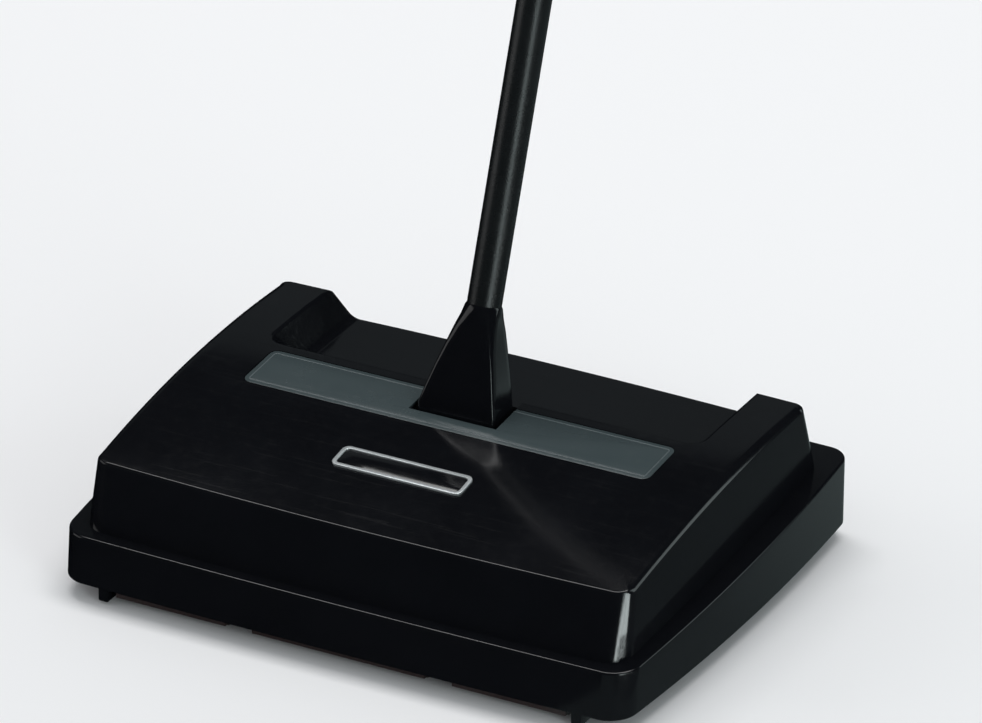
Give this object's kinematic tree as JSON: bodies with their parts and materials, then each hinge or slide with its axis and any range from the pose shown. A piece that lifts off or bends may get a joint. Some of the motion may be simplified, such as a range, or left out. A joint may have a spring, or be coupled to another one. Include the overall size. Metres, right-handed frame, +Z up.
{
  "type": "carpet sweeper",
  "caption": "Manual carpet sweeper: gloss-black low head with a stepped skirt, a grey inlay and a rear recess, a brush and dust pans underneath, and a leaning tubular push handle.",
  "frame": {"origin": "middle of the head on the floor, where the four tyres rest", "axes": "+X to the right of a person looking at the front edge, +Y towards the rear recess and the leaning handle, +Z up"},
  "size_m": [0.354, 0.5169, 1.099],
  "materials": {
    "gloss_black": "gloss-black moulded plastic",
    "window_grey": "glossy dark grey inlay",
    "silver": "satin silver",
    "black_plastic": "moulded black plastic",
    "hub_grey": "moulded dark grey plastic",
    "pan_plastic": "moulded dark brown-black plastic",
    "steel": "bright zinc-plated steel",
    "satin_tube": "satin black powder coat",
    "grip_rubber": "soft matt black",
    "tyre_rubber": "matt black rubber",
    "drum_rubber": "matt black ribbed rubber",
    "bristle": "stiff dark bristle"
  },
  "bodies": {
    "housing": {"hood": "gloss_black", "skirt": "gloss_black", "window_panel": "window_grey", "badge_plate": "silver", "handle_cradle": "black_plastic", "handle_pin": "steel", "pin_clips": "steel", "end_frame_left": "black_plastic", "end_frame_right": "black_plastic", "brush_bushes": "black_plastic", "front_axle": "steel", "rear_axle": "steel", "axle_caps": "steel", "brush_comb": "black_plastic", "front_pan_rod": "steel", "rear_pan_rod": "steel", "housing_screws": "steel", "frame_screws": "steel", "cradle_screws": "steel"},
    "handle": {"yoke": "gloss_black", "tube_lower": "satin_tube", "tube_middle": "satin_tube", "tube_upper": "satin_tube", "grip": "grip_rubber", "hanging_cap": "black_plastic", "yoke_screw": "steel"},
    "brush": {"brush_core": "black_plastic", "brush_bristles": "bristle", "brush_drum_left": "drum_rubber", "brush_drum_right": "drum_rubber", "brush_spindle": "steel"},
    "front_pan_body": {"front_pan": "pan_plastic", "front_pan_springs": "steel"},
    "rear_pan_body": {"rear_pan": "pan_plastic", "rear_pan_springs": "steel"},
    "wheel_front_left": {"wheel_hub_front_left": "hub_grey", "wheel_tyre_front_left": "tyre_rubber"},
    "wheel_front_right": {"wheel_hub_front_right": "hub_grey", "wheel_tyre_front_right": "tyre_rubber"},
    "wheel_rear_left": {"wheel_hub_rear_left": "hub_grey", "wheel_tyre_rear_left": "tyre_rubber"},
    "wheel_rear_right": {"wheel_hub_rear_right": "hub_grey", "wheel_tyre_rear_right": "tyre_rubber"}
  },
  "joints": [
    {"name": "handle_tilt", "type": "hinge", "parent": "housing", "child": "handle", "pos_m": [0, 0.0055, 0.0715], "axis": [1, 0, 0], "range_deg": [-55, 2]},
    {"name": "brush_spin", "type": "hinge", "parent": "housing", "child": "brush", "pos_m": [0, 0, 0.0265], "axis": [1, 0, 0], "continuous": true},
    {"name": "front_pan_drop", "type": "hinge", "parent": "housing", "child": "front_pan_body", "pos_m": [0, -0.128, 0.0078], "axis": [1, 0, 0], "range_deg": [-70, 0]},
    {"name": "rear_pan_drop", "type": "hinge", "parent": "housing", "child": "rear_pan_body", "pos_m": [0, 0.1205, 0.0078], "axis": [1, 0, 0], "range_deg": [0, 70]},
    {"name": "wheel_front_left_spin", "type": "hinge", "parent": "housing", "child": "wheel_front_left", "pos_m": [-0.133, -0.05479, 0.03], "axis": [1, 0, 0], "continuous": true},
    {"name": "wheel_front_right_spin", "type": "hinge", "parent": "housing", "child": "wheel_front_right", "pos_m": [0.133, -0.05479, 0.03], "axis": [1, 0, 0], "continuous": true},
    {"name": "wheel_rear_left_spin", "type": "hinge", "parent": "housing", "child": "wheel_rear_left", "pos_m": [-0.133, 0.05479, 0.03], "axis": [1, 0, 0], "continuous": true},
    {"name": "wheel_rear_right_spin", "type": "hinge", "parent": "housing", "child": "wheel_rear_right", "pos_m": [0.133, 0.05479, 0.03], "axis": [1, 0, 0], "continuous": true}
  ],
  "couplings": [
    {"joint": "wheel_front_left_spin", "follows": "brush_spin", "ratio": -0.81667},
    {"joint": "wheel_front_right_spin", "follows": "brush_spin", "ratio": -0.81667},
    {"joint": "wheel_rear_left_spin", "follows": "brush_spin", "ratio": -0.81667},
    {"joint": "wheel_rear_right_spin", "follows": "brush_spin", "ratio": -0.81667}
  ]
}
